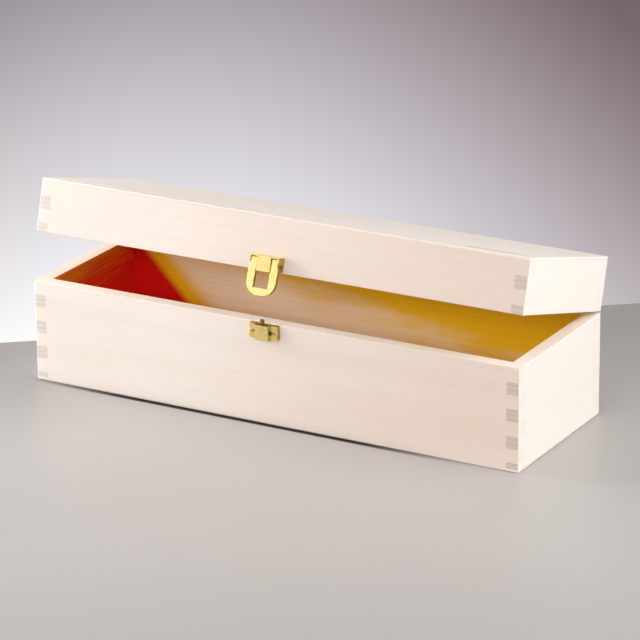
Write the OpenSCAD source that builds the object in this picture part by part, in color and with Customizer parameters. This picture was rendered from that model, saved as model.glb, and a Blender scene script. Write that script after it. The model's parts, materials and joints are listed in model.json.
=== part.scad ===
// Hinged wooden wine box with finger jointed corners and a brass loop clasp.
// Millimetres. +X runs to the right along the front, -Y is the front, +Z is up.
// The origin is the centre of the base's underside. The lid stands open as photographed.

/* [Box] */
// Outside length, left to right
box_length = 360; // [250:1:450]
// Outside width, front to back
box_w = 118; // [90:1:200]
// Height of the base up to its rim
base_h = 70; // [50:1:120]
// Height of the lid, from its sawn edge to its top
lid_h = 36; // [20:1:60]
// Thickness of the side boards
wall_t = 9; // [6:0.5:14]
// Thickness of the plywood top and bottom
panel_t = 2; // [1.5:0.1:5]
// Gap left between rim and lid when closed
part_gap = 0.3; // [0.1:0.1:1]
// Rounding of the outer edges
edge_r = 1.2; // [0.4:0.1:3]
// Rounding of the two sawn edges where lid meets base
rim_r = 0.4; // [0.2:0.1:1]
// How far the lid stands open
open_deg = 16; // [0:1:90]

/* [Finger joints] */
// Height of one finger
finger_h = 9; // [6:0.5:15]
// Height of the lid's uppermost finger on the long boards
top_finger_h = 9.7; // [4:0.1:15]
// Height of the base's lowest finger on the end boards
low_finger_h = 4.6; // [3:0.1:14]

/* [Hinges] */
// Distance of a hinge's middle from the end of the box
hinge_inset = 70; // [30:1:100]
// Length of one hinge
hinge_l = 25; // [15:1:50]
// Height of one leaf below or above the knuckles' middle
leaf_h = 10; // [8:0.5:15]
// Thickness of a hinge leaf
leaf_t = 1; // [0.6:0.1:1.6]
// Radius of a hinge knuckle
knuckle_r = 1.8; // [1.5:0.1:3]
// Clearance between the knuckles and the back board
knuckle_clear = 0.2; // [0.1:0.05:0.5]
// Number of knuckles on a hinge
knuckles = 5; // [3:2:7]
// Gap between neighbouring knuckles
knuckle_gap = 0.2; // [0.1:0.05:0.5]
// Radius of a hinge pin
hinge_pin_r = 0.9; // [0.6:0.1:1.2]
// Width of the swaged rim at each end of a hinge pin
pin_rim = 0.4; // [0.2:0.1:0.6]
// Thickness of a swaged end
pin_head_h = 0.4; // [0.2:0.1:1]
// Running clearance around every pin, on the radius
run_gap = 0.05; // [0.02:0.01:0.1]

/* [Nails] */
// Radius of a nail's shank
shank_r = 0.6; // [0.4:0.05:0.9]
// Wood left behind the point of a nail
nail_back = 3; // [1:0.5:5]
// Radius of a nail's head
head_r = 1.2; // [1:0.1:1.6]
// Height of a nail's head
head_h = 0.6; // [0.3:0.1:1]
// Clearance of a nail in its pilot hole, on the radius
pilot_gap = 0.05; // [0.02:0.01:0.1]
// Distance of a hinge nail from the end of its leaf
hinge_nail_in = 4.5; // [3:0.5:6]
// Distance of a hinge nail from the long edge of its leaf
hinge_nail_edge = 3.6; // [2:0.1:4]

/* [Clasp] */
// Middle of the clasp, from the middle of the front
clasp_x = -1.75; // [-20:0.25:20]
// Thickness of the brass sheet
sheet_t = 0.8; // [0.5:0.1:1.1]
// Width of the bracket on the lid
bracket_w = 21.4; // [19:0.1:30]
// Height of the bracket's top above the lid's sawn edge
bracket_top = 10; // [8:0.1:15]
// Height of the bracket's back leaf above the lid's sawn edge
bracket_low = 0.8; // [0.5:0.1:2]
// Height of a cheek
cheek_h = 4.8; // [4:0.1:7]
// Width of the cheek left in front of the crossbar
cheek_web = 0.75; // [0.5:0.05:2]
// Distance of the crossbar's middle in front of the lid
pivot_off = 5.4; // [5:0.1:8]
// Radius of the loop's crossbar
bar_r = 0.9; // [0.6:0.1:1.1]
// Clearance between the top of the loop and the ledge
ledge_gap = 0.45; // [0.3:0.05:1]
// Clearance between the crossbar and the tongue
tongue_gap = 0.5; // [0.2:0.05:1]
// Width of the tongue that hangs inside the loop
tongue_w = 10.1; // [8:0.1:12]
// How far the tongue reaches below the lid's sawn edge
tongue_drop = 0; // [0:0.1:3]
// Rounding of the tongue's lower corners
tongue_r = 0.8; // [0.3:0.1:2]
// Distance of a bracket nail from the side of the bracket
bracket_nail_in = 3; // [2.5:0.1:3.5]
// Distance of a bracket nail from the back leaf's lower edge
bracket_nail_edge = 2.2; // [1.5:0.1:3]

/* [Loop] */
// Thickness of the loop
loop_t = 2.5; // [1.5:0.1:3]
// Clearance between the loop and each cheek
cheek_gap = 0.3; // [0.1:0.05:0.5]
// Clearance between the loop's window and each side of the tongue
window_gap = 0.5; // [0.2:0.05:1]
// Width of the loop below the cheeks
loop_w = 21.3; // [20:0.1:28]
// Distance below the cheeks where the loop starts to widen
neck_gap = 0.4; // [0.2:0.1:1]
// Height over which the loop widens
neck_l = 3.5; // [1:0.1:5]
// How far the loop reaches below the lid's sawn edge
loop_drop = 15.8; // [14:0.1:25]
// Rounding of the loop's lower corners
loop_r = 8.8; // [4:0.1:10]
// Rounding of the loop's upper edges
loop_top_r = 0.5; // [0.3:0.05:1]
// How far the window reaches below the lid's sawn edge
window_drop = 11; // [8:0.1:12]

/* [Catch] */
// Width of the catch
catch_w = 21.5; // [20:0.5:30]
// Height of the catch
catch_h = 10; // [8:0.1:16]
// Distance of the catch's top below the rim
catch_drop = 0.3; // [0.3:0.1:2]
// Clearance between the latched loop and the heads of the catch's nails
loop_gap = 0.25; // [0.1:0.05:0.5]
// Rounding of the catch's edges
catch_r = 0.9; // [0.3:0.1:1.5]
// Clearance between the raised bridge and each side of the loop's window
bridge_gap = 0.4; // [0.3:0.05:1.5]
// Clearance between the bridge and the latched loop below it
latch_gap = 0.3; // [0.1:0.05:1]
// How far the bridge stands in front of the latched loop's back
latch_depth = 1.7; // [0.8:0.05:2]
// Clearance between bridge and loop while the lid is shut over it
pass_gap = 0.19; // [0.1:0.01:2]
// How far the bend at the bridge's foot reaches sideways
foot_w = 0.9; // [0.3:0.1:1.2]
// How far the bend at the bridge's foot reaches forward
foot_d = 0.7; // [0.3:0.05:0.8]
// Width of the relief slot on each side of the bridge
relief_w = 1.6; // [0.8:0.1:1.8]
// Height of the relief slot
relief_h = 2.7; // [1:0.1:5]
// Distance of a catch nail from the side of the catch
catch_nail_in = 2.5; // [2:0.1:2.6]
// Width of the spring tongue's upper end
spring_w = 3; // [1.5:0.1:4]
// Width of the spring tongue where it enters the bridge's pocket
spring_neck_w = 1.9; // [1:0.1:4]
// Thickness of the spring tongue
spring_t = 1; // [0.5:0.1:1.1]
// How far the spring tongue rises above the rim
spring_rise = 3.4; // [1:0.1:4]
// How far the spring tongue reaches below the rim
spring_depth = 8.2; // [4:0.1:9]

/* [Hidden] */
$fn = 48;
over = 1;
head_taper = 0.7;
tip_round = 0.25;
half_l = box_length / 2;
half_w = box_w / 2;
lid_z = base_h + part_gap;
pitch = 2 * finger_h;
base_finger_z = panel_t + low_finger_h;
lid_finger_z = lid_h - panel_t - top_finger_h;
base_fingers = 1 + floor((base_h - base_finger_z + finger_h - over) / pitch);
lid_fingers = ceil(lid_finger_z / pitch);
hinge_x = half_l - hinge_inset;
hinge_off = knuckle_r + knuckle_clear;
hinge_y = half_w + hinge_off;
hinge_z = base_h + part_gap / 2;
knuckle_l = hinge_l / knuckles;
leaf_clear = knuckle_r + knuckle_gap;
nail_in = wall_t - nail_back;
pivot_y = -half_w - pivot_off;
pivot_z = bracket_top - sheet_t - ledge_gap - loop_t / 2;
cheek_d = pivot_off + bar_r + run_gap + cheek_web;
tongue_off = pivot_off + bar_r + tongue_gap;
loop_back = pivot_off - loop_t / 2;
loop_neck_w = bracket_w - 2 * (sheet_t + cheek_gap);
neck_z = bracket_top - cheek_h - neck_gap;
window_w = tongue_w + 2 * window_gap;
catch_d = loop_back - head_h - loop_gap;
bridge_w = window_w - 2 * bridge_gap;
bridge_h = window_drop - part_gap - catch_drop - latch_gap;
bridge_d = loop_back + latch_depth;
flare_deg = atan((latch_depth + pass_gap) / (pivot_z + window_drop));

// A rectangle centred on X and standing on Y = 0, with its corners rounded.
module eased_rect(a, b, r_low, r_high) {
  difference() {
    translate([-a / 2, 0]) square([a, b]);
    for (s = [-1, 1]) {
      translate([s * a / 2, 0]) corner_waste(r_low, -s, 1);
      translate([s * a / 2, b]) corner_waste(r_high, -s, -1);
    }
  }
}

// What rounding takes off one corner. sx and sy point into the rectangle.
module corner_waste(r, sx, sy) {
  difference() {
    translate([sx > 0 ? -over : -r, sy > 0 ? -over : -r]) square(r + over);
    translate([sx * r, sy * r]) circle(r);
  }
}

// The outside of base or lid: a block with all its edges rounded.
module outside(h, r_low, r_high) {
  intersection() {
    rotate([90, 0, 90]) linear_extrude(height = box_length, center = true)
      eased_rect(box_w, h, r_low, r_high);
    rotate([90, 0, 0]) linear_extrude(height = box_w, center = true)
      eased_rect(box_length, h, r_low, r_high);
    linear_extrude(height = h)
      translate([0, -half_w]) eased_rect(box_length, box_w, edge_r, edge_r);
  }
}

// The corner spaces taken by the end boards' fingers. The first one ends at
// top_z, and the others follow it at every step.
module end_fingers(top_z, step, count) {
  for (sx = [-1, 1], sy = [-1, 1], k = [0 : count - 1])
    translate([
      sx * (half_l - wall_t / 2 + over / 2),
      sy * (half_w - wall_t / 2 + over / 2),
      top_z - finger_h / 2 + k * step
    ]) cube([wall_t + over, wall_t + over, finger_h], center = true);
}

// All four corner posts of the box, from z = 0 to h.
module corner_posts(h) {
  for (sx = [-1, 1], sy = [-1, 1])
    translate([
      sx * (half_l - wall_t / 2 + over / 2),
      sy * (half_w - wall_t / 2 + over / 2),
      h / 2
    ]) cube([wall_t + over, wall_t + over, h + 2 * over], center = true);
}

// The outside of the base, and that of the lid with its sawn edge at Z = 0.
module base_block() outside(base_h, edge_r, rim_r);

module lid_block() outside(lid_h, rim_r, edge_r);

// A long board with its fingers, cut from the block that is its child, between
// the heights low and high. side is -1 for the front, 1 for the back.
module long_board(side, low, high, first_z, step, count) {
  difference() {
    intersection() {
      children();
      translate([0, side * (half_w - wall_t / 2), (low + high) / 2])
        cube([box_length, wall_t, high - low], center = true);
    }
    end_fingers(first_z, step, count);
  }
}

// An end board with its fingers, cut from the block that is its child.
module end_board(side, low, high, first_z, step, count) {
  difference() {
    intersection() {
      children();
      translate([side * (half_l - wall_t / 2), 0, (low + high) / 2])
        cube([wall_t, box_w, high - low], center = true);
    }
    difference() {
      corner_posts(high);
      end_fingers(first_z, step, count);
    }
  }
}

// The plywood sheet glued over the boards, cut from the block that is its child.
module plywood(low) {
  intersection() {
    children();
    translate([0, 0, low + panel_t / 2]) cube([box_length, box_w, panel_t], center = true);
  }
}

// All the boards of base and lid are cut with these.
module base_long(side)
  long_board(side, panel_t, base_h, base_finger_z, pitch, base_fingers) base_block();

module base_end(side)
  end_board(side, panel_t, base_h, base_finger_z, pitch, base_fingers) base_block();

module lid_long(side) translate([0, 0, lid_z])
  long_board(side, 0, lid_h - panel_t, lid_finger_z, -pitch, lid_fingers) lid_block();

module lid_end(side) translate([0, 0, lid_z])
  end_board(side, 0, lid_h - panel_t, lid_finger_z, -pitch, lid_fingers) lid_block();

// A nail driven along +Y through something of thickness t into the wood.
// The underside of its head is at Y = 0.
module nail(t) {
  rotate([-90, 0, 0]) cylinder(h = t + nail_in, r = shank_r);
  rotate([90, 0, 0]) cylinder(h = head_h / 2, r = head_r);
  translate([0, -head_h / 2, 0]) rotate([90, 0, 0])
    cylinder(h = head_h / 2, r1 = head_r, r2 = head_r * head_taper);
}

// The hole that such a nail leaves in what it is driven through.
module pilot(t) {
  translate([0, -over, 0]) rotate([-90, 0, 0])
    cylinder(h = over + t + nail_in + pilot_gap, r = shank_r + pilot_gap);
}

// Puts something at each nail of the catch.
module at_catch_nails() {
  for (s = [-1, 1])
    translate([
      clasp_x + s * (catch_w / 2 - catch_nail_in),
      -half_w - catch_d,
      base_h - catch_drop - catch_h / 2
    ]) children();
}

// Puts something at each nail of the bracket.
module at_bracket_nails() {
  for (s = [-1, 1])
    translate([
      clasp_x + s * (bracket_w / 2 - bracket_nail_in),
      -half_w - sheet_t,
      lid_z + bracket_low + bracket_nail_edge
    ]) children();
}

// Puts something at each nail of the hinges. side is -1 for the base, 1 for the lid.
module at_hinge_nails(side) {
  for (sx = [-1, 1], s = [-1, 1])
    translate([
      sx * hinge_x + s * (hinge_l / 2 - hinge_nail_in),
      half_w + leaf_t,
      hinge_z + side * (leaf_h - hinge_nail_edge)
    ]) rotate([0, 0, 180]) children();
}

// Turns the lid and all that is on it about the hinge line.
module opened() {
  translate([0, hinge_y, hinge_z]) rotate([-open_deg, 0, 0])
    translate([0, -hinge_y, -hinge_z]) children();
}

// Turns the loop about its pivot, away from its latched position.
module flared() {
  translate([0, pivot_y, lid_z + pivot_z]) rotate([-flare_deg, 0, 0])
    translate([0, -pivot_y, -lid_z - pivot_z]) children();
}

module base_front_panel() color([0.93, 0.86, 0.75]) difference() {
  base_long(-1);
  at_catch_nails() pilot(catch_d);
}

module base_back_panel() color([0.93, 0.86, 0.75]) difference() {
  base_long(1);
  at_hinge_nails(-1) pilot(leaf_t);
}

module base_left_end() color([0.95, 0.89, 0.79]) base_end(-1);

module base_right_end() color([0.95, 0.89, 0.79]) base_end(1);

module base_bottom_panel() color([0.88, 0.79, 0.66]) plywood(0) base_block();

module lid_front_rail() color([0.93, 0.86, 0.75]) opened() difference() {
  lid_long(-1);
  at_bracket_nails() pilot(sheet_t);
}

module lid_back_rail() color([0.93, 0.86, 0.75]) opened() difference() {
  lid_long(1);
  at_hinge_nails(1) pilot(leaf_t);
}

module lid_left_end() color([0.95, 0.89, 0.79]) opened() lid_end(-1);

module lid_right_end() color([0.95, 0.89, 0.79]) opened() lid_end(1);

module lid_top_panel() color([0.9, 0.84, 0.76]) opened() translate([0, 0, lid_z])
  plywood(lid_h - panel_t) lid_block();

// One hinge leaf. side is -1 for the base's leaf, which has the outer knuckles.
module hinge_leaf(x_mid, side) {
  first = side < 0 ? 0 : 1;
  translate([x_mid, hinge_y, hinge_z]) difference() {
    union() {
      translate([-hinge_l / 2, -hinge_off, side < 0 ? -leaf_h : leaf_clear])
        cube([hinge_l, leaf_t, leaf_h - leaf_clear]);
      for (k = [first : 2 : knuckles - 1]) {
        translate([-hinge_l / 2 + k * knuckle_l + knuckle_gap / 2, 0, 0]) {
          rotate([0, 90, 0]) cylinder(h = knuckle_l - knuckle_gap, r = knuckle_r);
          translate([0, -hinge_off, side < 0 ? -leaf_h + over : 0])
            cube([knuckle_l - knuckle_gap, leaf_t, leaf_h - over]);
        }
      }
    }
    translate([-hinge_l / 2 - over, 0, 0]) rotate([0, 90, 0])
      cylinder(h = hinge_l + 2 * over, r = hinge_pin_r + run_gap);
  }
}

module base_leaf(x_mid) color([0.83, 0.68, 0.3]) difference() {
  hinge_leaf(x_mid, -1);
  at_hinge_nails(-1) pilot(leaf_t);
}

module lid_leaf(x_mid) color([0.83, 0.68, 0.3]) opened() difference() {
  hinge_leaf(x_mid, 1);
  at_hinge_nails(1) pilot(leaf_t);
}

module hinge_pin(x_mid) color([0.8, 0.64, 0.28])
  translate([x_mid, hinge_y, hinge_z]) rotate([0, 90, 0]) {
    cylinder(h = hinge_l, r = hinge_pin_r, center = true);
    for (s = [-1, 1])
      translate([0, 0, s * (hinge_l + pin_head_h) / 2])
        cylinder(h = pin_head_h, r = hinge_pin_r + pin_rim, center = true);
  }

module hinge_left_base_leaf() base_leaf(-hinge_x);

module hinge_right_base_leaf() base_leaf(hinge_x);

module hinge_left_lid_leaf() lid_leaf(-hinge_x);

module hinge_right_lid_leaf() lid_leaf(hinge_x);

module hinge_left_pin() hinge_pin(-hinge_x);

module hinge_right_pin() hinge_pin(hinge_x);

module hinge_base_nails() color([0.83, 0.68, 0.3]) at_hinge_nails(-1) nail(leaf_t);

module hinge_lid_nails() color([0.83, 0.68, 0.3]) opened() at_hinge_nails(1) nail(leaf_t);

// A shallow pressed tray, back open, standing out along -Y from Y = 0, top at Z = 0.
module pressed_tray(w, h, d, r) {
  intersection() {
    rotate([90, 0, 0]) linear_extrude(height = d)
      translate([0, -h]) eased_rect(w, h, r, r);
    translate([0, 0, -h]) linear_extrude(height = h)
      mirror([0, 1]) eased_rect(w, d, 0, r);
  }
}

module catch_plate() color([0.85, 0.72, 0.38])
  translate([clasp_x, -half_w, base_h - catch_drop]) difference() {
    union() {
      pressed_tray(catch_w, catch_h, catch_d, catch_r);
      translate([0, 0, -bridge_h]) linear_extrude(height = bridge_h)
        mirror([0, 1]) eased_rect(bridge_w, bridge_d, 0, catch_r);
      translate([0, 0, -bridge_h]) linear_extrude(height = bridge_h) polygon([
        [-bridge_w / 2 - foot_w, -catch_d],
        [-bridge_w / 2, -catch_d - foot_d],
        [bridge_w / 2, -catch_d - foot_d],
        [bridge_w / 2 + foot_w, -catch_d]
      ]);
    }
    translate([0, 0, -catch_h / 2])
      cube([catch_w - 2 * sheet_t, 2 * (catch_d - sheet_t), catch_h - 2 * sheet_t],
        center = true);
    translate([-bridge_w / 2 + sheet_t, -bridge_d + sheet_t, sheet_t - bridge_h])
      cube([bridge_w - 2 * sheet_t, bridge_d - sheet_t - catch_d, bridge_h]);
    for (s = [-1, 1]) {
      translate([
        s * (bridge_w + relief_w) / 2,
        -catch_d,
        -catch_h / 2
      ]) cube([relief_w, 2 * (sheet_t + over / 2), relief_h], center = true);
      translate([
        s * bridge_w / 2,
        (sheet_t - catch_d - bridge_d + catch_r) / 2,
        -catch_h / 2
      ]) cube([2 * (sheet_t + over / 2), bridge_d - catch_d + sheet_t - catch_r, relief_h],
        center = true);
    }
    translate([-clasp_x, half_w, catch_drop - base_h])
      at_catch_nails() pilot(catch_d);
  }

module catch_spring() color([0.5, 0.38, 0.32])
  translate([clasp_x, -half_w - catch_d, base_h - spring_depth])
    rotate([90, 0, 0]) linear_extrude(height = spring_t) intersection() {
      eased_rect(spring_w, spring_rise + spring_depth, 0, spring_w * tip_round);
      polygon([
        [-spring_neck_w / 2, 0],
        [spring_neck_w / 2, 0],
        [spring_neck_w / 2, spring_depth],
        [spring_w / 2, spring_depth + spring_rise - spring_w * tip_round],
        [spring_w / 2, spring_depth + spring_rise],
        [-spring_w / 2, spring_depth + spring_rise],
        [-spring_w / 2, spring_depth + spring_rise - spring_w * tip_round],
        [-spring_neck_w / 2, spring_depth]
      ]);
    }

module catch_nails() color([0.5, 0.4, 0.2])
  at_catch_nails() nail(catch_d);

module clasp_bracket() color([0.93, 0.85, 0.55]) opened()
  translate([clasp_x, -half_w, lid_z]) difference() {
    union() {
      translate([-bracket_w / 2, -sheet_t, bracket_low])
        cube([bracket_w, sheet_t, bracket_top - bracket_low]);
      translate([-bracket_w / 2, -cheek_d, bracket_top - sheet_t])
        cube([bracket_w, cheek_d, sheet_t]);
      for (s = [-1, 1])
        translate([
          s * (bracket_w - sheet_t) / 2,
          -cheek_d / 2,
          bracket_top - cheek_h / 2
        ]) cube([sheet_t, cheek_d, cheek_h], center = true);
      translate([-tongue_w / 2, -tongue_off - sheet_t, bracket_top - sheet_t])
        cube([tongue_w, tongue_off, sheet_t]);
      translate([0, -tongue_off, -tongue_drop]) rotate([90, 0, 0])
        linear_extrude(height = sheet_t)
          eased_rect(tongue_w, bracket_top + tongue_drop, tongue_r, 0);
    }
    translate([0, -pivot_off, pivot_z]) rotate([0, 90, 0])
      cylinder(h = bracket_w + 2 * over, r = bar_r + run_gap, center = true);
    translate([-clasp_x, half_w, -lid_z])
      at_bracket_nails() pilot(sheet_t);
  }

module bracket_nails() color([0.83, 0.68, 0.3]) opened()
  at_bracket_nails() nail(sheet_t);

// The loop's outline, with Z = 0 at the lid's sawn edge.
module loop_outline() {
  difference() {
    union() {
      polygon([
        [-loop_neck_w / 2, pivot_z + loop_t / 2],
        [-loop_neck_w / 2, neck_z],
        [-loop_w / 2, neck_z - neck_l],
        [-loop_w / 2, loop_r - loop_drop],
        [loop_w / 2, loop_r - loop_drop],
        [loop_w / 2, neck_z - neck_l],
        [loop_neck_w / 2, neck_z],
        [loop_neck_w / 2, pivot_z + loop_t / 2]
      ]);
      for (s = [-1, 1])
        translate([s * (loop_w / 2 - loop_r), loop_r - loop_drop]) circle(loop_r);
      translate([loop_r - loop_w / 2, -loop_drop])
        square([loop_w - 2 * loop_r, loop_r]);
    }
    translate([-window_w / 2, -window_drop])
      square([window_w, window_drop + pivot_z + loop_t]);
  }
}

module clasp_loop() color([0.95, 0.85, 0.5]) opened() flared()
  translate([clasp_x, pivot_y, lid_z]) {
    intersection() {
      rotate([90, 0, 0]) linear_extrude(height = loop_t, center = true) loop_outline();
      rotate([90, 0, 90]) linear_extrude(height = loop_w + 2 * over, center = true) {
        translate([0, -loop_drop - over])
          eased_rect(loop_t, loop_drop + over + pivot_z + loop_t / 2, 0, loop_top_r);
      }
    }
    translate([0, 0, pivot_z]) rotate([0, 90, 0])
      cylinder(h = bracket_w, r = bar_r, center = true);
  }

base_front_panel();
base_back_panel();
base_left_end();
base_right_end();
base_bottom_panel();
catch_plate();
catch_spring();
catch_nails();
hinge_left_base_leaf();
hinge_right_base_leaf();
hinge_left_pin();
hinge_right_pin();
hinge_base_nails();
lid_front_rail();
lid_back_rail();
lid_left_end();
lid_right_end();
lid_top_panel();
clasp_bracket();
bracket_nails();
hinge_left_lid_leaf();
hinge_right_lid_leaf();
hinge_lid_nails();
clasp_loop();
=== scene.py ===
"""A long wooden wine box with finger jointed corners, its lid ajar on two brass hinges."""
import json
import math

import bmesh
import bpy
import numpy as np
from mathutils import Matrix, Vector


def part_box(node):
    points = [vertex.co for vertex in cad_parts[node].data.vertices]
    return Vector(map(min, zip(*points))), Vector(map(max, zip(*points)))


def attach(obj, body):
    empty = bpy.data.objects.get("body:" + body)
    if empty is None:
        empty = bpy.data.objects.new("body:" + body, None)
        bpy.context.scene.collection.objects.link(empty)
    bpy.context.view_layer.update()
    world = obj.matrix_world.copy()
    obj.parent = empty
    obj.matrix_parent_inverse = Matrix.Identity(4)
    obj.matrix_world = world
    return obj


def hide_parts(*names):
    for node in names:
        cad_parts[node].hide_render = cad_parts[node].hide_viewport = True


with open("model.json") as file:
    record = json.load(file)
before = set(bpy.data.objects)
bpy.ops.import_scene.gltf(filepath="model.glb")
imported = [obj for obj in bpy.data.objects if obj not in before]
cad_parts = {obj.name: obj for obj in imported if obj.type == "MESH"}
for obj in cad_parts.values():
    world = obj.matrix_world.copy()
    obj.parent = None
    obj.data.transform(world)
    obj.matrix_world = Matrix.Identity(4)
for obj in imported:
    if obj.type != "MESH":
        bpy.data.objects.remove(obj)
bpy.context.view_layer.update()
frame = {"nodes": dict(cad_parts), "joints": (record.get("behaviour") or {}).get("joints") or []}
nodes = frame["nodes"]

# Lengths are in metres. A side of 1 is the box's right or back, and -1 its left or front.
MM = 0.001

# The lid rests ajar. Its grain, and what each of its faces is, are worked out with the lid
# turned shut about the hinge line.
lid_joint = next(j for j in frame["joints"] if j["name"] == "lid_hinge")
HINGE = Vector(lid_joint["pos_m"])
OPEN = -math.radians(lid_joint["range_deg"][0])
TURN_SHUT = Matrix.Rotation(OPEN, 3, "X")


def rows_of(items, attribute):
    """A vector of each vertex or face of a mesh, as the rows of an array."""
    flat = np.zeros(len(items) * 3)
    items.foreach_get(attribute, flat)
    return flat.reshape(-1, 3)


def turned_shut(rows, about=(0, 0, 0)):
    """Points of the lid turned back about the hinge line, or directions about the origin."""
    return (rows - np.array(about)) @ np.array(TURN_SHUT).T + np.array(about)


# Half the box's length and width, its plywood, the base's height and the shut lid's top.
HALF_L, HALF_W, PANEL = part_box("base_bottom_panel")[1]
BASE_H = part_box("base_front_panel")[1].z
LID_TOP = turned_shut(rows_of(nodes["lid_top_panel"].data.vertices, "co"), HINGE)[:, 2].max()


def tone(red, green, blue):
    """A colour written as it looks on a screen, turned into the linear values that shaders use."""
    c = np.array([red, green, blue]) / 255
    linear = np.where(c <= 0.04045, c / 12.92, ((c + 0.055) / 1.055) ** 2.4)
    return (*linear.tolist(), 1.0)


class Graph:
    """Lays out the nodes of one material. Each method returns the socket that it makes."""

    def __init__(self, name):
        self.material = bpy.data.materials.new(name)
        self.material.use_nodes = True
        self.tree = self.material.node_tree
        self.shader = self.tree.nodes["Principled BSDF"]

    def put(self, socket, value):
        """Links the value to the socket, or sets it there where it is a plain number."""
        if isinstance(value, bpy.types.NodeSocket):
            self.tree.links.new(value, socket)
        else:
            socket.default_value = value

    def node(self, kind, inputs, output=0, **settings):
        made = self.tree.nodes.new("ShaderNode" + kind)
        for key, value in settings.items():
            setattr(made, key, value)
        for key, value in inputs.items():
            self.put(made.inputs[key], value)
        return made.outputs[output]

    def place(self, vector, location=(0, 0, 0), rotation=(0, 0, 0), scale=(1, 1, 1)):
        """Coordinates moved, turned and scaled. A scale below 1 draws a pattern out."""
        return self.node("Mapping", {"Vector": vector, "Location": location,
                                     "Rotation": rotation, "Scale": scale})

    def axis(self, vector, number):
        """One coordinate of a vector, 0, 1 or 2."""
        return self.node("SeparateXYZ", {0: vector}, output=number)

    def maths(self, operation, a, b=0.0, c=0.0):
        return self.node("Math", {0: a, 1: b, 2: c}, operation=operation)

    def off(self, value, middle):
        """How far a value is from the middle, either way."""
        return self.maths("ABSOLUTE", self.maths("SUBTRACT", value, middle))

    def ramp(self, value, low, high, out_low=0.0, out_high=1.0, smooth=True):
        """Goes from out_low to out_high while the value goes from low to high."""
        return self.node("MapRange", {0: value, 1: low, 2: high, 3: out_low, 4: out_high},
                         interpolation_type="SMOOTHSTEP" if smooth else "LINEAR")

    def mix(self, factor, a, b, mode="MIX"):
        return self.node("Mix", {0: factor, 6: a, 7: b}, output=2,
                         data_type="RGBA", blend_type=mode)

    def noise(self, vector, scale, detail=2.0, roughness=0.5):
        """Cloudy values between 0 and 1, about scale of them to the metre."""
        return self.node("TexNoise", {"Vector": vector, "Scale": scale, "Detail": detail,
                                      "Roughness": roughness})

    def finish(self, colour, rough, bump=None, depth=0.0, strength=0.0, specular=0.35):
        """Sets the shader. The bump, from 0 to 1, stands for a relief of the given depth."""
        self.put(self.shader.inputs["Base Color"], colour)
        self.put(self.shader.inputs["Roughness"], rough)
        self.shader.inputs["Specular IOR Level"].default_value = specular
        if bump is not None:
            raised = self.node("Bump", {"Height": bump, "Distance": depth, "Strength": strength})
            self.put(self.shader.inputs["Normal"], raised)
        return self.material


# Wood. The pale and the warm tone of each sanded surface.
LONG_PALE, LONG_WARM = tone(244, 232, 223), tone(237, 223, 211)
LID_PALE, LID_WARM = tone(238, 224, 214), tone(233, 217, 204)
END_PALE, END_WARM = tone(252, 246, 238), tone(249, 241, 231)
PLY_PALE, PLY_WARM = tone(245, 234, 224), tone(236, 223, 211)
RIM_PALE, RIM_WARM = tone(254, 240, 225), tone(252, 231, 214)
# End grain, light and dark, of the long boards, the right boards and the left boards. The right
# boards' is darker than the left boards', partly painted shade like the long boards' right ends.
LONG_CUT = tone(250, 243, 234), tone(245, 236, 226)
RIGHT_CUT = tone(213, 197, 184), tone(199, 181, 166)
LEFT_CUT = tone(227, 216, 207), tone(214, 201, 190)
PORE_BROWN, GLUE_BROWN, STREAK_BROWN = tone(206, 180, 155), tone(182, 158, 134), tone(178, 156, 138)
# What a long board's right end is multiplied by, a painted shade where less light reaches it, and
# what the grain inside the box is multiplied by under its painted shade.
RIGHT_PAINTED_SHADE, GRAIN_SHADE = tone(245, 239, 234), tone(242, 232, 222)

# How deep the sanded and the sawn surfaces are, and how far the rings wander: on boards, on
# peeled veneer, over end grain and along the sawn rim.
SANDED_RELIEF, SAWN_RELIEF = 0.12 * MM, 0.1 * MM
BOARD_WARP, VENEER_WARP, CUT_WARP, RIM_WARP = 7.0, 9.0, 1.2, 5.0

# Where the pith of each board's tree lies, across the grain and up, seen with the box shut.
FRONT_PITH, BACK_PITH = (70 * MM, 28 * MM), (-120 * MM, 55 * MM)
LEFT_PITH, RIGHT_PITH = (150 * MM, -330 * MM), (-190 * MM, -290 * MM)
SHEET_PITH, FLOOR_PITH = (-30 * MM, -60 * MM), (25 * MM, 160 * MM)


def shut_coordinates(g, lid):
    """Object coordinates; a lid's are turned back about the hinge line, as if it were shut."""
    place = g.node("TexCoord", {}, output=3)
    if not lid:
        return place
    return g.place(place, location=HINGE - TURN_SHUT @ HINGE, rotation=(OPEN, 0, 0))


def with_fibres(g, shut, along):
    """The coordinates turned so that the first one runs with the fibres, along X or Y."""
    return g.place(shut, rotation=(0, 0, -math.pi / 2 if along == "Y" else 0))


def grain(g, shut, along, pith, warp):
    """Wood as a solid: growth rings about a pith line along the grain, drawn out along it,
    with fibres and pores. Returns the ring, fibre, pore and cloud values."""
    turned = with_fibres(g, shut, along)
    centred = g.place(turned, location=(0, -pith[0], -pith[1]), scale=(0.055, 1, 1))
    rings = g.node("TexWave", {
        "Vector": centred, "Scale": 96, "Distortion": warp, "Detail": 3,
        "Detail Scale": 0.28, "Detail Roughness": 0.55,
    }, output=1, wave_type="RINGS", rings_direction="X")
    fibres = g.noise(g.place(centred, scale=(0.3, 1, 1)), 620, 3, 0.65)
    pores = g.ramp(g.noise(g.place(centred, scale=(0.6, 1, 1)), 1500, 1), 0.64, 0.74)
    cloud = g.noise(g.place(turned, scale=(0.35, 1, 1)), 16)
    return rings, fibres, pores, cloud


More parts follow.
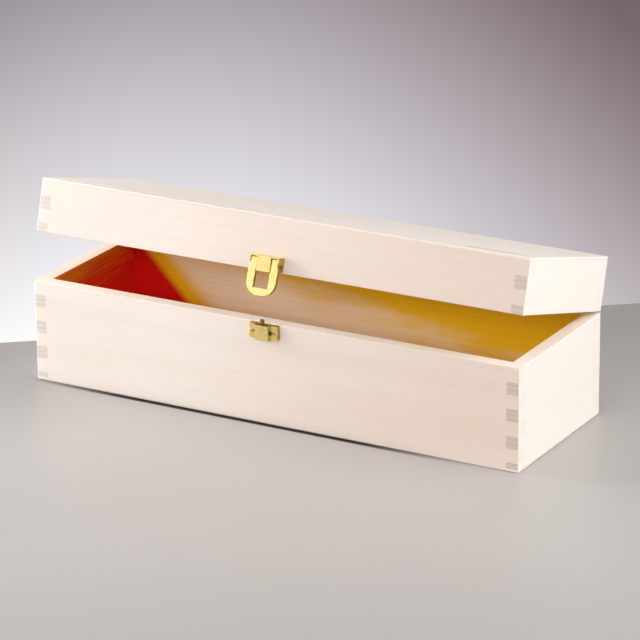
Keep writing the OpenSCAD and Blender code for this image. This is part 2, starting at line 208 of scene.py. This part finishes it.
def painted_shade_to_right(g, shut, colour):
    """A painted shade on a long board, where less light falls: its tone deepens slowly from left of
    the middle to its right end, over a border that drifts by 25 mm."""
    drift = g.ramp(g.noise(g.place(shut, scale=(0.4, 1, 1)), 9), 0.3, 0.7, -25 * MM, 25 * MM)
    x = g.maths("ADD", g.axis(shut, 0), drift)
    amount = g.ramp(x, -90 * MM, 150 * MM, smooth=False)
    return g.mix(amount, colour, RIGHT_PAINTED_SHADE, "MULTIPLY")


def dark_streak(g, shut, colour):
    """A slim brownish streak on the lid's top near the right front corner. It runs along the top's
    length, bends inwards over its last 30 mm, tapers to the right and fades at both ends."""
    start, bend, end = 126 * MM, 150 * MM, 180 * MM
    x = g.axis(shut, 0)
    middle = g.ramp(x, bend, end, -46.6 * MM, -43 * MM)
    ragged = g.noise(g.place(shut, scale=(0.2, 1, 1)), 260, 3)
    half = g.ramp(x, start, end, 2.6 * MM, 0.4 * MM, smooth=False)
    half = g.maths("MULTIPLY_ADD", ragged, 2 * MM, half)
    across = g.maths("DIVIDE", g.off(g.axis(shut, 1), middle), half)
    ends = g.maths("MULTIPLY", g.ramp(x, start, start + 6 * MM),
                   g.ramp(x, end - 10 * MM, end - 1 * MM, 1.0, 0.4))
    inside = g.maths("MULTIPLY", g.ramp(across, 0.5, 1.3, 1.0, 0.0), ends)
    return g.mix(g.maths("MULTIPLY", inside, 0.6), colour, STREAK_BROWN)


def sanded(name, along, lid, pith, pale, warm, figure=0.3, warp=BOARD_WARP, shade=None):
    """Raw sanded wood seen along its fibres. figure says how strongly its rings show, and
    shade, if given, changes the colour from place to place."""
    g = Graph(name)
    shut = shut_coordinates(g, lid)
    rings, fibres, pores, cloud = grain(g, shut, along, pith, warp)
    amount = g.maths("MULTIPLY", g.ramp(rings, 0.35, 1.0), figure)
    amount = g.maths("MULTIPLY_ADD", g.ramp(cloud, 0.42, 0.66), 0.3, amount)
    colour = g.mix(amount, pale, warm)
    colour = g.mix(g.ramp(fibres, 0.35, 0.7, 0.0, 0.25), colour, warm)
    colour = g.mix(g.maths("MULTIPLY", pores, 0.11), colour, PORE_BROWN)
    if shade:
        colour = shade(g, shut, colour)
    rough = g.ramp(fibres, 0.3, 0.75, 0.5, 0.68)
    height = g.maths("SUBTRACT", fibres, g.maths("MULTIPLY", pores, 0.5))
    return g.finish(colour, rough, height, depth=SANDED_RELIEF, strength=0.35)


def sawn_across(name, along, lid, pith, light, dark):
    """End grain: the same rings seen end on, darker because the open cells drink the light."""
    g = Graph(name)
    shut = shut_coordinates(g, lid)
    rings, _, _, cloud = grain(g, shut, along, pith, CUT_WARP)
    cells = g.noise(shut, 2600, 2, 0.6)
    amount = g.maths("MULTIPLY_ADD", g.ramp(cells, 0.35, 0.7), 0.3,
                     g.maths("MULTIPLY", g.ramp(rings, 0.2, 0.9), 0.6))
    colour = g.mix(amount, light, dark)
    colour = g.mix(g.ramp(cloud, 0.5, 0.75, 0.0, 0.4), colour, dark)
    rough = g.ramp(cells, 0.3, 0.7, 0.6, 0.8)
    height = g.maths("MULTIPLY_ADD", rings, 0.4, cells)
    return g.finish(colour, rough, height, depth=SAWN_RELIEF, strength=0.4, specular=0.2)


def sawn_rim(name, along, lid, pith):
    """The edge that the saw left when lid and base were cut apart: faint cross marks."""
    g = Graph(name)
    shut = shut_coordinates(g, lid)
    rings, fibres, _, _ = grain(g, shut, along, pith, RIM_WARP)
    colour = g.mix(g.maths("MULTIPLY", g.ramp(rings, 0.35, 1.0), 0.45), RIM_PALE, RIM_WARM)
    colour = g.mix(g.ramp(fibres, 0.35, 0.7, 0.0, 0.35), colour, RIM_WARM)
    marks = g.node("TexWave", {"Vector": with_fibres(g, shut, along), "Scale": 260,
                               "Distortion": 1.5, "Detail": 2, "Detail Scale": 0.4},
                   output=1, bands_direction="X")
    height = g.maths("MULTIPLY_ADD", marks, 0.5, fibres)
    return g.finish(colour, 0.65, height, depth=SAWN_RELIEF, strength=0.35, specular=0.25)


def ply_edge(name, lid, pale, warm):
    """The sheet's edge: two pale veneers with a browner core between, and a line of glue
    where the sheet meets the boards."""
    g = Graph(name)
    shut = shut_coordinates(g, lid)
    z = g.axis(shut, 2)
    middle, glue = (LID_TOP - PANEL / 2, LID_TOP - PANEL) if lid else (PANEL / 2, PANEL)
    core = g.ramp(g.off(z, middle), 0.38 * MM, 0.55 * MM, 1.0, 0.0)
    line = g.ramp(g.off(z, glue), 0.1 * MM, 0.35 * MM, 1.0, 0.0)
    cells = g.noise(g.place(shut, scale=(0.5, 0.5, 1)), 1500, 2, 0.6)
    colour = g.mix(g.ramp(cells, 0.35, 0.7), pale, warm)
    colour = g.mix(g.maths("MULTIPLY", core, 0.3), colour, warm)
    colour = g.mix(g.maths("MULTIPLY", line, 0.5), colour, GLUE_BROWN)
    return g.finish(colour, 0.7, cells, depth=SANDED_RELIEF, strength=0.4, specular=0.2)


# The painted shade inside the box, in warm tones that deepen where the shade falls.
TAN, GOLD, AMBER = tone(253, 227, 194), tone(252, 197, 8), tone(250, 138, 14)
DEEP_RED, BRIGHT_RED, HONEY = tone(228, 8, 3), tone(250, 34, 8), tone(250, 228, 196)


def shade_paint_back(g, shut):
    """Painted shade on the back wall: honey tan, turning gold towards the right and the rim, and
    deep red in the left corner, which ends on a slope with a soft band of gold beside it."""
    red_ends, gold_ends = (-103 * MM, -92 * MM), (-90 * MM, -66 * MM)
    gold_to_right, gold_upwards, gold_from, gold_whole = 5.56, 25.0, 0.665, 1.695
    x, z = g.axis(shut, 0), g.axis(shut, 2)
    ragged = g.noise(g.place(shut, scale=(0.3, 1, 1)), 75, 4, 0.6)
    drift = g.ramp(ragged, 0.3, 0.7, -0.3, 0.3, smooth=False)
    rise = g.maths("MULTIPLY_ADD", x, gold_to_right,
                   g.maths("MULTIPLY_ADD", z, gold_upwards, drift))
    slope = g.maths("ADD", x, z)
    gold = g.maths("MAXIMUM", g.ramp(rise, gold_from, gold_whole),
                   g.ramp(slope, *gold_ends, 1.0, 0.0))
    colour = g.mix(gold, TAN, GOLD)
    return g.mix(g.ramp(slope, *red_ends, 1.0, 0.0), colour, DEEP_RED)


def shade_paint_left(g, shut):
    """Painted shade on the left end's inside: bright red low down, turning amber towards the rim
    and a little sooner at the front, with streaks along the fibres that carry the border 28 mm up
    or down."""
    red_to, amber_from, lean, reach = 46 * MM, 76 * MM, -0.1, 28 * MM
    streaks = g.noise(g.place(shut, scale=(1, 0.06, 1)), 420, 3, 0.6)
    height = g.maths("ADD", g.maths("MULTIPLY_ADD", g.axis(shut, 1), lean, g.axis(shut, 2)),
                     g.maths("MULTIPLY_ADD", streaks, 2 * reach, -reach))
    return g.mix(g.ramp(height, red_to, amber_from), BRIGHT_RED, AMBER)


def shade_paint_plain(g, shut):
    """Painted shade on the other inner faces: honey, a little deeper near the left end."""
    return g.mix(g.ramp(g.axis(shut, 0), -172 * MM, -110 * MM, 0.5, 0.0), HONEY, AMBER)


def inside_painted_shade(name, along, lid, pith, shade_paint):
    """The inside of the box: the same wood under a painted shade, which darkens its grain."""
    g = Graph(name)
    shut = shut_coordinates(g, lid)
    rings, fibres, pores, _ = grain(g, shut, along, pith, BOARD_WARP)
    colour = shade_paint(g, shut)
    deeper = g.mix(1.0, colour, GRAIN_SHADE, "MULTIPLY")
    amount = g.maths("MULTIPLY_ADD", g.ramp(fibres, 0.4, 0.7), 0.35,
                     g.maths("MULTIPLY", g.ramp(rings, 0.4, 1.0), 0.4))
    amount = g.maths("MULTIPLY_ADD", pores, 0.3, amount)
    colour = g.mix(amount, colour, deeper)
    rough = g.ramp(fibres, 0.3, 0.75, 0.5, 0.65)
    return g.finish(colour, rough, fibres, depth=SANDED_RELIEF, strength=0.3, specular=0.3)


def metal(name, colour, worn, rough, drawn=(0.08, 1, 1), lid=False):
    """Thin plated sheet: fine rolling lines, drawn out along one axis, small dull spots and
    a slightly uneven gloss."""
    g = Graph(name)
    shut = shut_coordinates(g, lid)
    lines = g.noise(g.place(shut, scale=drawn), 5200, 2, 0.6)
    spots = g.ramp(g.noise(shut, 900, 2, 0.6), 0.56, 0.72)
    patches = g.noise(shut, 160)
    spot_tint = tuple(c * 0.6 for c in worn[:3]) + (1,)
    tint = g.mix(g.ramp(patches, 0.35, 0.7), colour, worn)
    tint = g.mix(g.maths("MULTIPLY", spots, 0.25), tint, spot_tint)
    gloss = g.ramp(lines, 0.3, 0.7, rough - 0.05, rough + 0.07)
    gloss = g.maths("MULTIPLY_ADD", spots, 0.12, gloss)
    g.shader.inputs["Metallic"].default_value = 1.0
    return g.finish(tint, gloss, lines, depth=0.02 * MM, strength=0.25, specular=0.5)


# Pieces. Vertices closer than WELD are one, and faces that turn by less than FLAT are one
# face. An edge is sharp past SHARP, and eased by a bevel past EASED.
WELD, FLAT, SHARP, EASED = 0.002 * MM, math.radians(0.5), math.radians(32), math.radians(35)
WOOD_EASE, SHEET_EASE, LOOP_EASE = 0.16 * MM, 0.14 * MM, 0.3 * MM


def merged_copy(name, node):
    """A copy of a CAD node as a whole skin: its loose triangles are welded, and those that lie
    in one plane are joined."""
    mesh = nodes[node].data.copy()
    mesh.name = name
    mesh.materials.clear()
    skin = bmesh.new()
    skin.from_mesh(mesh)
    bmesh.ops.remove_doubles(skin, verts=skin.verts, dist=WELD)
    bmesh.ops.dissolve_limit(skin, angle_limit=FLAT, verts=skin.verts, edges=skin.edges)
    skin.to_mesh(mesh)
    skin.free()
    return mesh


def add_piece(name, node, body, finishes, choose, ease, segments=1):
    """A dressed copy of a CAD node. choose gives each face one of the finishes from the face's
    centre and normal. ease is the width of the small bevel on its sharp edges, which takes
    the first finish."""
    mesh = merged_copy(name, node)
    for finish in finishes:
        mesh.materials.append(finish)
    centres, normals = rows_of(mesh.polygons, "center"), rows_of(mesh.polygons, "normal")
    if body == "lid":
        centres, normals = turned_shut(centres, HINGE), turned_shut(normals)
    mesh.polygons.foreach_set("material_index", choose(centres, normals).astype(np.int32))
    mesh.polygons.foreach_set("use_smooth", np.ones(len(mesh.polygons), bool))
    mesh.set_sharp_from_angle(angle=SHARP)
    piece = bpy.data.objects.new(name, mesh)
    bpy.context.scene.collection.objects.link(piece)
    bevel = piece.modifiers.new("eased edges", "BEVEL")
    bevel.width = ease
    bevel.segments = segments
    bevel.limit_method = "ANGLE"
    bevel.angle_limit = EASED
    bevel.use_clamp_overlap = True
    bevel.material = 0
    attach(piece, body)
    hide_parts(node)


# A face looks along an axis where its normal's share of that axis is above ROUGHLY, about
# 45 degrees, or above SQUARELY. End grain lies within END_REACH of the box's outside, and the
# sawn rim within RIM_REACH of the height where lid and base part.
ROUGHLY, SQUARELY = 0.71, 0.9
END_REACH, RIM_REACH = 1.5 * MM, 0.5 * MM


def choose_board(through, side):
    """0 outer face, 1 end grain, 2 inner face, 3 sawn rim, for a board whose thickness lies
    along the axis through."""
    along = 1 - through
    half = (HALF_L, HALF_W)[along]

    def choose(centre, normal):
        kind = np.zeros(len(centre))
        at_end = np.abs(centre[:, along]) > half - END_REACH
        kind[at_end & (np.abs(normal[:, along]) > ROUGHLY)] = 1
        kind[normal[:, through] * side < -SQUARELY] = 2
        at_rim = np.abs(centre[:, 2] - BASE_H) < RIM_REACH
        kind[at_rim & (np.abs(normal[:, 2]) > SQUARELY)] = 3
        return kind
    return choose


def choose_sheet(inner):
    """0 veneer, 1 long edge, 2 the side towards the inside of the box, 3 short edge."""
    def choose(centre, normal):
        kind = np.zeros(len(centre))
        kind[np.abs(normal[:, 2]) < ROUGHLY] = 1
        kind[np.abs(normal[:, 0]) > ROUGHLY] = 3
        kind[normal[:, 2] * inner > SQUARELY] = 2
        return kind
    return choose


def choose_sheet_metal(centre, normal):
    """0 sheet, 1 the sides that face left or right, which take a darker brass as painted shade."""
    return (np.abs(normal[:, 0]) > 0.6).astype(float)


def board_finishes(name, along, lid, pith, pale, warm, shade_paint, cut, shade=None):
    """The four finishes of one board, in the order that choose_board gives."""
    return [
        sanded(name + "_face", along, lid, pith, pale, warm, shade=shade),
        sawn_across(name + "_end_grain", along, lid, pith, *cut),
        inside_painted_shade(name + "_inside", along, lid, pith, shade_paint),
        sawn_rim(name + "_rim", along, lid, pith),
    ]


# The last column is the painted shade on the board's inner face.
for name, node, body, side, pith, shade_paint in (
    ("base_front_board", "base_front_panel", "base", -1, FRONT_PITH, shade_paint_plain),
    ("base_back_board", "base_back_panel", "base", 1, BACK_PITH, shade_paint_back),
    ("lid_front_board", "lid_front_rail", "lid", -1, FRONT_PITH, shade_paint_plain),
    ("lid_back_board", "lid_back_rail", "lid", 1, BACK_PITH, shade_paint_plain),
):
    tones = (LID_PALE, LID_WARM) if body == "lid" else (LONG_PALE, LONG_WARM)
    # Each long board's face takes the painted shade that deepens towards its right end.
    finishes = board_finishes(name, "X", body == "lid", pith, *tones, shade_paint, LONG_CUT,
                              painted_shade_to_right)
    add_piece(name, node, body, finishes, choose_board(1, side), WOOD_EASE)

# The last column is the painted shade on the board's inner face.
for name, node, body, side, pith, shade_paint in (
    ("base_left_board", "base_left_end", "base", -1, LEFT_PITH, shade_paint_left),
    ("base_right_board", "base_right_end", "base", 1, RIGHT_PITH, shade_paint_plain),
    ("lid_left_board", "lid_left_end", "lid", -1, LEFT_PITH, shade_paint_plain),
    ("lid_right_board", "lid_right_end", "lid", 1, RIGHT_PITH, shade_paint_plain),
):
    # The right boards' darker end grain is partly painted shade.
    cut = RIGHT_CUT if side > 0 else LEFT_CUT
    finishes = board_finishes(name, "Y", body == "lid", pith, END_PALE, END_WARM, shade_paint, cut)
    add_piece(name, node, body, finishes, choose_board(0, side), WOOD_EASE)

VENEER_FIGURE = 0.6
add_piece("lid_top_sheet", "lid_top_panel", "lid", [
    sanded("top_veneer", "X", True, SHEET_PITH, PLY_PALE, PLY_WARM, VENEER_FIGURE, VENEER_WARP,
           dark_streak),
    ply_edge("top_sheet_edge", True, LID_PALE, LID_WARM),
    # Its inner face takes the plain painted shade.
    inside_painted_shade("top_sheet_inside", "X", True, SHEET_PITH, shade_paint_plain),
    ply_edge("top_sheet_end", True, END_PALE, END_WARM),
], choose_sheet(-1), WOOD_EASE)
add_piece("base_floor_sheet", "base_bottom_panel", "base", [
    sanded("floor_veneer", "X", False, FLOOR_PITH, PLY_PALE, PLY_WARM, VENEER_FIGURE,
           VENEER_WARP),
    ply_edge("floor_sheet_edge", False, LONG_PALE, LONG_WARM),
    # Its inner face takes the plain painted shade.
    inside_painted_shade("floor_inside", "X", False, FLOOR_PITH, shade_paint_plain),
    ply_edge("floor_sheet_end", False, END_PALE, END_WARM),
], choose_sheet(1), WOOD_EASE)

# Brass and steel, each with its worn tone; the sides that face left or right take a darker brass,
# painted shade and dark reflection.
BRASS = (0.93, 0.74, 0.3, 1), (0.87, 0.67, 0.24, 1)
SHADED_SIDE_BRASS = (0.56, 0.43, 0.09, 1), (0.42, 0.3, 0.06, 1)
HINGE_BRASS = (0.85, 0.64, 0.28, 1), (0.72, 0.52, 0.21, 1)
NAIL_BRASS = (0.66, 0.48, 0.2, 1), (0.45, 0.31, 0.14, 1)
BROWN_STEEL = (0.3, 0.15, 0.08, 1), (0.2, 0.09, 0.05, 1)
UPRIGHT, NO_LINES = (1, 1, 0.08), (1, 1, 1)

catch_set = [metal("brass_catch", *BRASS, 0.3), metal("shaded_side_catch", *SHADED_SIDE_BRASS, 0.42)]
shaded_side_lid = metal("shaded_side_bracket", *SHADED_SIDE_BRASS, 0.42, lid=True)
bracket_set = [metal("brass_bracket", *BRASS, 0.3, lid=True), shaded_side_lid]
loop_set = [metal("brass_loop", *BRASS, 0.22, drawn=UPRIGHT, lid=True), shaded_side_lid]
hinge_set = [metal("hinge_brass", *HINGE_BRASS, 0.34)] * 2
tongue_set = [metal("spring_steel", *BROWN_STEEL, 0.38, drawn=UPRIGHT)] * 2
nail_brass = metal("nail_brass", *NAIL_BRASS, 0.4, drawn=NO_LINES)

for name, node, body, slot_name, finishes, ease in (
    ("catch", "catch_plate", "base", "brass_sheet", catch_set, SHEET_EASE),
    ("catch_tongue", "catch_spring", "base", "spring_steel", tongue_set, SHEET_EASE),
    ("bracket", "clasp_bracket", "lid", "brass_sheet", bracket_set, SHEET_EASE),
    ("loop", "clasp_loop", "loop", "brass_sheet", loop_set, LOOP_EASE),
    ("left_leaf_below", "hinge_left_base_leaf", "base", "brass_sheet", hinge_set, SHEET_EASE),
    ("right_leaf_below", "hinge_right_base_leaf", "base", "brass_sheet", hinge_set, SHEET_EASE),
    ("left_leaf_above", "hinge_left_lid_leaf", "lid", "brass_sheet", hinge_set, SHEET_EASE),
    ("right_leaf_above", "hinge_right_lid_leaf", "lid", "brass_sheet", hinge_set, SHEET_EASE),
):
    add_piece(name, node, body, finishes, choose_sheet_metal, ease, segments=3)

# The nails and the hinge pins keep their CAD shapes.
for node in ("catch_nails", "bracket_nails", "hinge_base_nails", "hinge_lid_nails",
             "hinge_left_pin", "hinge_right_pin"):
    mesh = nodes[node].data
    mesh.materials.clear()
    mesh.materials.append(nail_brass)

# The table and the graded paper behind it meet along a line, the table's back edge. Both are
# measured from a point on that line, along it and away from it.
EDGE_START = Vector((-236.9 * MM, -6.7 * MM, 0))
EDGE_ALONG = Vector((0.7834, 0.6215, 0)).normalized()
EDGE_AWAY = Vector((-EDGE_ALONG.y, EDGE_ALONG.x, 0))
GROUND_REACH = 6.0


def ground(name, near, far, finish):
    """A flat sheet beside the edge line. Each point of its grid is the line's start, plus a
    step along the line, plus a step away from it between near and far."""
    steps = np.linspace(-GROUND_REACH, GROUND_REACH, 13)
    rows = np.linspace(near, far, 9)
    along, away = np.meshgrid(steps, rows, indexing="ij")
    points = (np.array(EDGE_START) + along[..., None] * np.array(EDGE_ALONG)
              + away[..., None] * np.array(EDGE_AWAY))
    index = np.arange(points.shape[0] * points.shape[1]).reshape(points.shape[:2])
    faces = np.stack([index[:-1, :-1], index[1:, :-1], index[1:, 1:], index[:-1, 1:]], -1)
    mesh = bpy.data.meshes.new(name)
    mesh.from_pydata(points.reshape(-1, 3).tolist(), [], faces.reshape(-1, 4).tolist())
    mesh.materials.append(finish)
    sheet = bpy.data.objects.new(name, mesh)
    bpy.context.scene.collection.objects.link(sheet)


def edge_coordinates(g, place):
    """The distance along the edge line and away from it."""
    from_start = g.node("VectorMath", {0: place, 1: EDGE_START}, operation="SUBTRACT")
    along = g.node("VectorMath", {0: from_start, 1: EDGE_ALONG}, output=1, operation="DOT_PRODUCT")
    away = g.node("VectorMath", {0: from_start, 1: EDGE_AWAY}, output=1, operation="DOT_PRODUCT")
    return along, away


TABLE_GREY = tone(187, 182, 179)
# Painted shade on the table top: where it darkens, and from what share of its grey to what: towards
# its back edge, its front and its right, measured from the edge line, and towards its left, along
# the box.
BACK_FALL, FRONT_FALL = (-0.2, 0.0, 1.0, 0.72), (-0.62, -0.35, 0.88, 1.0)
RIGHT_FALL, LEFT_FALL = (0.3, 0.45, 1.0, 0.85), (-280 * MM, -80 * MM, 0.79, 1.0)
# A painted contact shadow, the dark line where the box's front meets the table: its middle, and
# how far from there it is whole and gone, across and along.
CONTACT_Y, CONTACT_ACROSS = -HALF_W - 0.2 * MM, (2.6 * MM, 4.0 * MM)
CONTACT_X, CONTACT_ALONG = -22 * MM, (80 * MM, 185 * MM)
CONTACT_SHADOW_DARK = 0.97


def table_finish():
    """A pale grey satin table top, with painted shade across it and a painted contact shadow under
    the box's front, which also dims its reflections there.
    """
    g = Graph("table_top")
    place = g.node("TexCoord", {}, output=3)
    along, away = edge_coordinates(g, place)
    x, y = g.axis(place, 0), g.axis(place, 1)
    across = g.ramp(g.off(y, CONTACT_Y), *CONTACT_ACROSS, CONTACT_SHADOW_DARK, 0.0)
    length = g.ramp(g.off(x, CONTACT_X), *CONTACT_ALONG, 1.0, 0.0)
    clear = g.maths("SUBTRACT", 1.0, g.maths("MULTIPLY", across, length))
    level = clear
    for fall in (g.ramp(away, *BACK_FALL), g.ramp(away, *FRONT_FALL),
                 g.ramp(along, *RIGHT_FALL), g.ramp(x, *LEFT_FALL)):
        level = g.maths("MULTIPLY", level, fall)
    colour = g.node("VectorMath", {0: TABLE_GREY[:3], "Scale": level}, operation="SCALE")
    g.put(g.shader.inputs["Specular Tint"], g.node("CombineColor", {0: clear, 1: clear, 2: clear}))
    return g.finish(colour, 0.38, specular=0.5)


# The paper's brightest value, its far end, its left and right ends, and the plain tone that
# lights the box.
PAPER_WHITE, PAPER_FAR, PAPER_LEFT, PAPER_RIGHT = 0.97, 1.0, -0.08, 0.62
PAPER_TONE = (0.8, 0.8, 0.81, 1)
# How its brightness falls off with the square of the distance, and how much slower with both
# distances at once. For each channel: its value at the table, and how it falls with distance,
# rises to the right, and falls with the square of that.
FALL_SQUARED, HELD_BY_BOTH = -0.21, 1.65
CHANNELS = {
    "Red": (0.99, -1.09, 0.95, -5.45),
    "Green": (0.97, -1.17, 1.22, -6.4),
    "Blue": (0.995, -1.14, 1.45, -6.75),
}


def backdrop_finish():
    """Paper that glows with painted light for the camera and reflections: white beside the table,
    falling off to grey with distance and towards the right: each channel is its value at the table
    times the exponential of a quadratic in the distances away and along, which stop growing at the
    ends of the paper. Other rays meet plain pale paper."""
    g = Graph("backdrop")
    along, away = edge_coordinates(g, g.node("TexCoord", {}, output=3))
    along = g.maths("MINIMUM", g.maths("MAXIMUM", along, PAPER_LEFT), PAPER_RIGHT)
    away = g.maths("MINIMUM", away, PAPER_FAR)
    both = g.maths("MULTIPLY", g.maths("MULTIPLY", along, away), HELD_BY_BOTH)
    seen = {}
    for name, (at_table, fall, to_right, to_right_squared) in CHANNELS.items():
        by_away = g.maths("MULTIPLY", away, g.maths("MULTIPLY_ADD", away, FALL_SQUARED, fall))
        by_along = g.maths("MULTIPLY", along,
                           g.maths("MULTIPLY_ADD", along, to_right_squared, to_right))
        power = g.maths("ADD", both, g.maths("ADD", by_away, by_along))
        value = g.maths("MULTIPLY", g.maths("EXPONENT", power), at_table)
        seen[name] = g.maths("MINIMUM", PAPER_WHITE, value)
    g.finish(PAPER_TONE, 0.9, specular=0.0)
    glow = g.node("Emission", {0: g.node("CombineColor", seen), 1: 1.0})
    camera_ray, glossy_ray, clear_ray = (
        g.node("LightPath", {}, output=f"Is {kind} Ray")
        for kind in ("Camera", "Glossy", "Transmission"))
    shown = g.maths("MAXIMUM", camera_ray, g.maths("MAXIMUM", glossy_ray, clear_ray))
    both_ways = g.node("MixShader", {0: shown, 1: g.shader.outputs[0], 2: glow})
    g.put(g.tree.nodes["Material Output"].inputs["Surface"], both_ways)
    return g.material


ground("table", -GROUND_REACH, 0.0, table_finish())
ground("backdrop", 0.0, GROUND_REACH, backdrop_finish())

# Soft studio light: a white world and six soft lamps.
world = bpy.data.worlds.new("studio")
bpy.context.scene.world = world
world.use_nodes = True
sky = world.node_tree.nodes["Background"]
sky.inputs["Color"].default_value = (1.0, 1.0, 1.0, 1)
sky.inputs["Strength"].default_value = 0.5


def softbox(name, turn, rise, away, width, height, radiance, target):
    """A soft lamp that faces its target from a distance, turn degrees to the right of the
    front and rise degrees up. The camera doesn't see it. A lamp of area a and radiance r
    gives pi a r watts."""
    lamp = bpy.data.lights.new(name, "AREA")
    lamp.shape = "RECTANGLE"
    lamp.size, lamp.size_y = width, height
    lamp.energy = math.pi * width * height * radiance
    turn, rise = math.radians(turn), math.radians(rise)
    ray = Vector((math.sin(turn) * math.cos(rise), -math.cos(turn) * math.cos(rise),
                  math.sin(rise)))
    made = bpy.data.objects.new(name, lamp)
    made.location = Vector(target) + away * ray
    made.rotation_euler = ray.to_track_quat("Z", "Y").to_euler()
    made.visible_camera = False
    bpy.context.scene.collection.objects.link(made)


MIDDLE, NEAR_LEFT, NEAR_RIGHT = (0, 0, 0.06), (-0.15, 0, 0.08), (0.15, 0, 0.08)
softbox("front_box", 5, 24, 2.6, 1.0, 0.45, 11.6, MIDDLE)
softbox("left_box", -80, 20, 0.9, 0.7, 0.4, 11.5, NEAR_LEFT)
softbox("low_left_box", -60, 10, 0.6, 0.4, 0.2, 2.5, NEAR_LEFT)
softbox("brass_box", -30, 19, 2.0, 1.2, 1.0, 0.75, MIDDLE)
softbox("right_box", 95, 40, 0.9, 0.7, 0.5, 4.0, NEAR_RIGHT)
softbox("low_right_box", 80, 10, 2.6, 1.0, 0.5, 7.0, MIDDLE)

# The camera, solved from the box's own edges. It turns by these degrees about X, Y and Z, and
# its shift, in pixels of the photograph, is the solve's last small correction.
CAMERA_PLACE, CAMERA_TURN = (1.09537, -1.91598, 0.83750), (70.4243, 0.5334, 29.4353)
SENSOR_MM, LENS_MM = 36, 200.715
SHIFT_PIXELS, PHOTO_PIXELS = (-1.1, 1.1), 640
camera_data = bpy.data.cameras.new("camera")
camera_data.sensor_width, camera_data.lens = SENSOR_MM, LENS_MM
camera_data.shift_x, camera_data.shift_y = (shift / PHOTO_PIXELS for shift in SHIFT_PIXELS)
camera = bpy.data.objects.new("camera", camera_data)
camera.location = CAMERA_PLACE
camera.rotation_euler = [math.radians(degrees) for degrees in CAMERA_TURN]
bpy.context.scene.collection.objects.link(camera)
bpy.context.scene.camera = camera
bpy.context.scene.view_settings.view_transform = "Standard"
